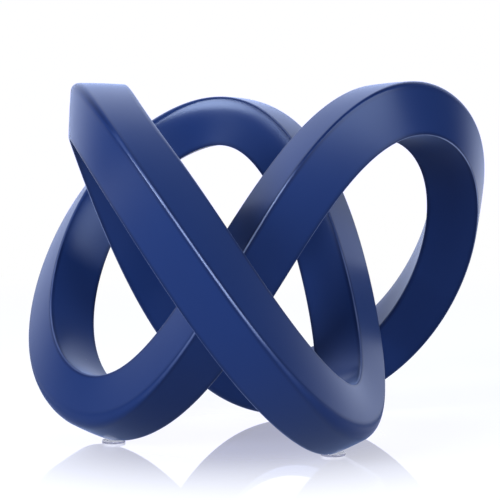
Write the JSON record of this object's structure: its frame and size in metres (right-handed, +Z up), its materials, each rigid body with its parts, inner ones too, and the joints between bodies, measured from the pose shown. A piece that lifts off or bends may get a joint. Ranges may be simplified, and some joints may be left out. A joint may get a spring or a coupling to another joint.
{
  "type": "knot sculpture",
  "caption": "Table ornament: a closed, twisting square-section strand tied as a three-lobed knot, satin navy blue, standing on its feet.",
  "frame": {"origin": "middle of the outline at the level of the surface that the pads stand on", "axes": "+Z up, along the knot's upright three-fold axis; +X along the longest extent, to the viewer's right; -Y towards the viewer"},
  "size_m": [0.1674, 0.1606, 0.1216],
  "materials": {
    "painted_resin": "satin navy-blue paint over cast resin",
    "steel": "plain drawn steel dowel",
    "clear_silicone": "clear soft silicone"
  },
  "bodies": {
    "root": {"front_arm": "painted_resin", "left_arm": "painted_resin", "right_arm": "painted_resin", "front_left_pin_a": "steel", "front_left_pin_b": "steel", "left_right_pin_a": "steel", "left_right_pin_b": "steel", "right_front_pin_a": "steel", "right_front_pin_b": "steel", "front_pad": "clear_silicone", "left_pad": "clear_silicone", "right_pad": "clear_silicone"}
  },
  "joints": []
}
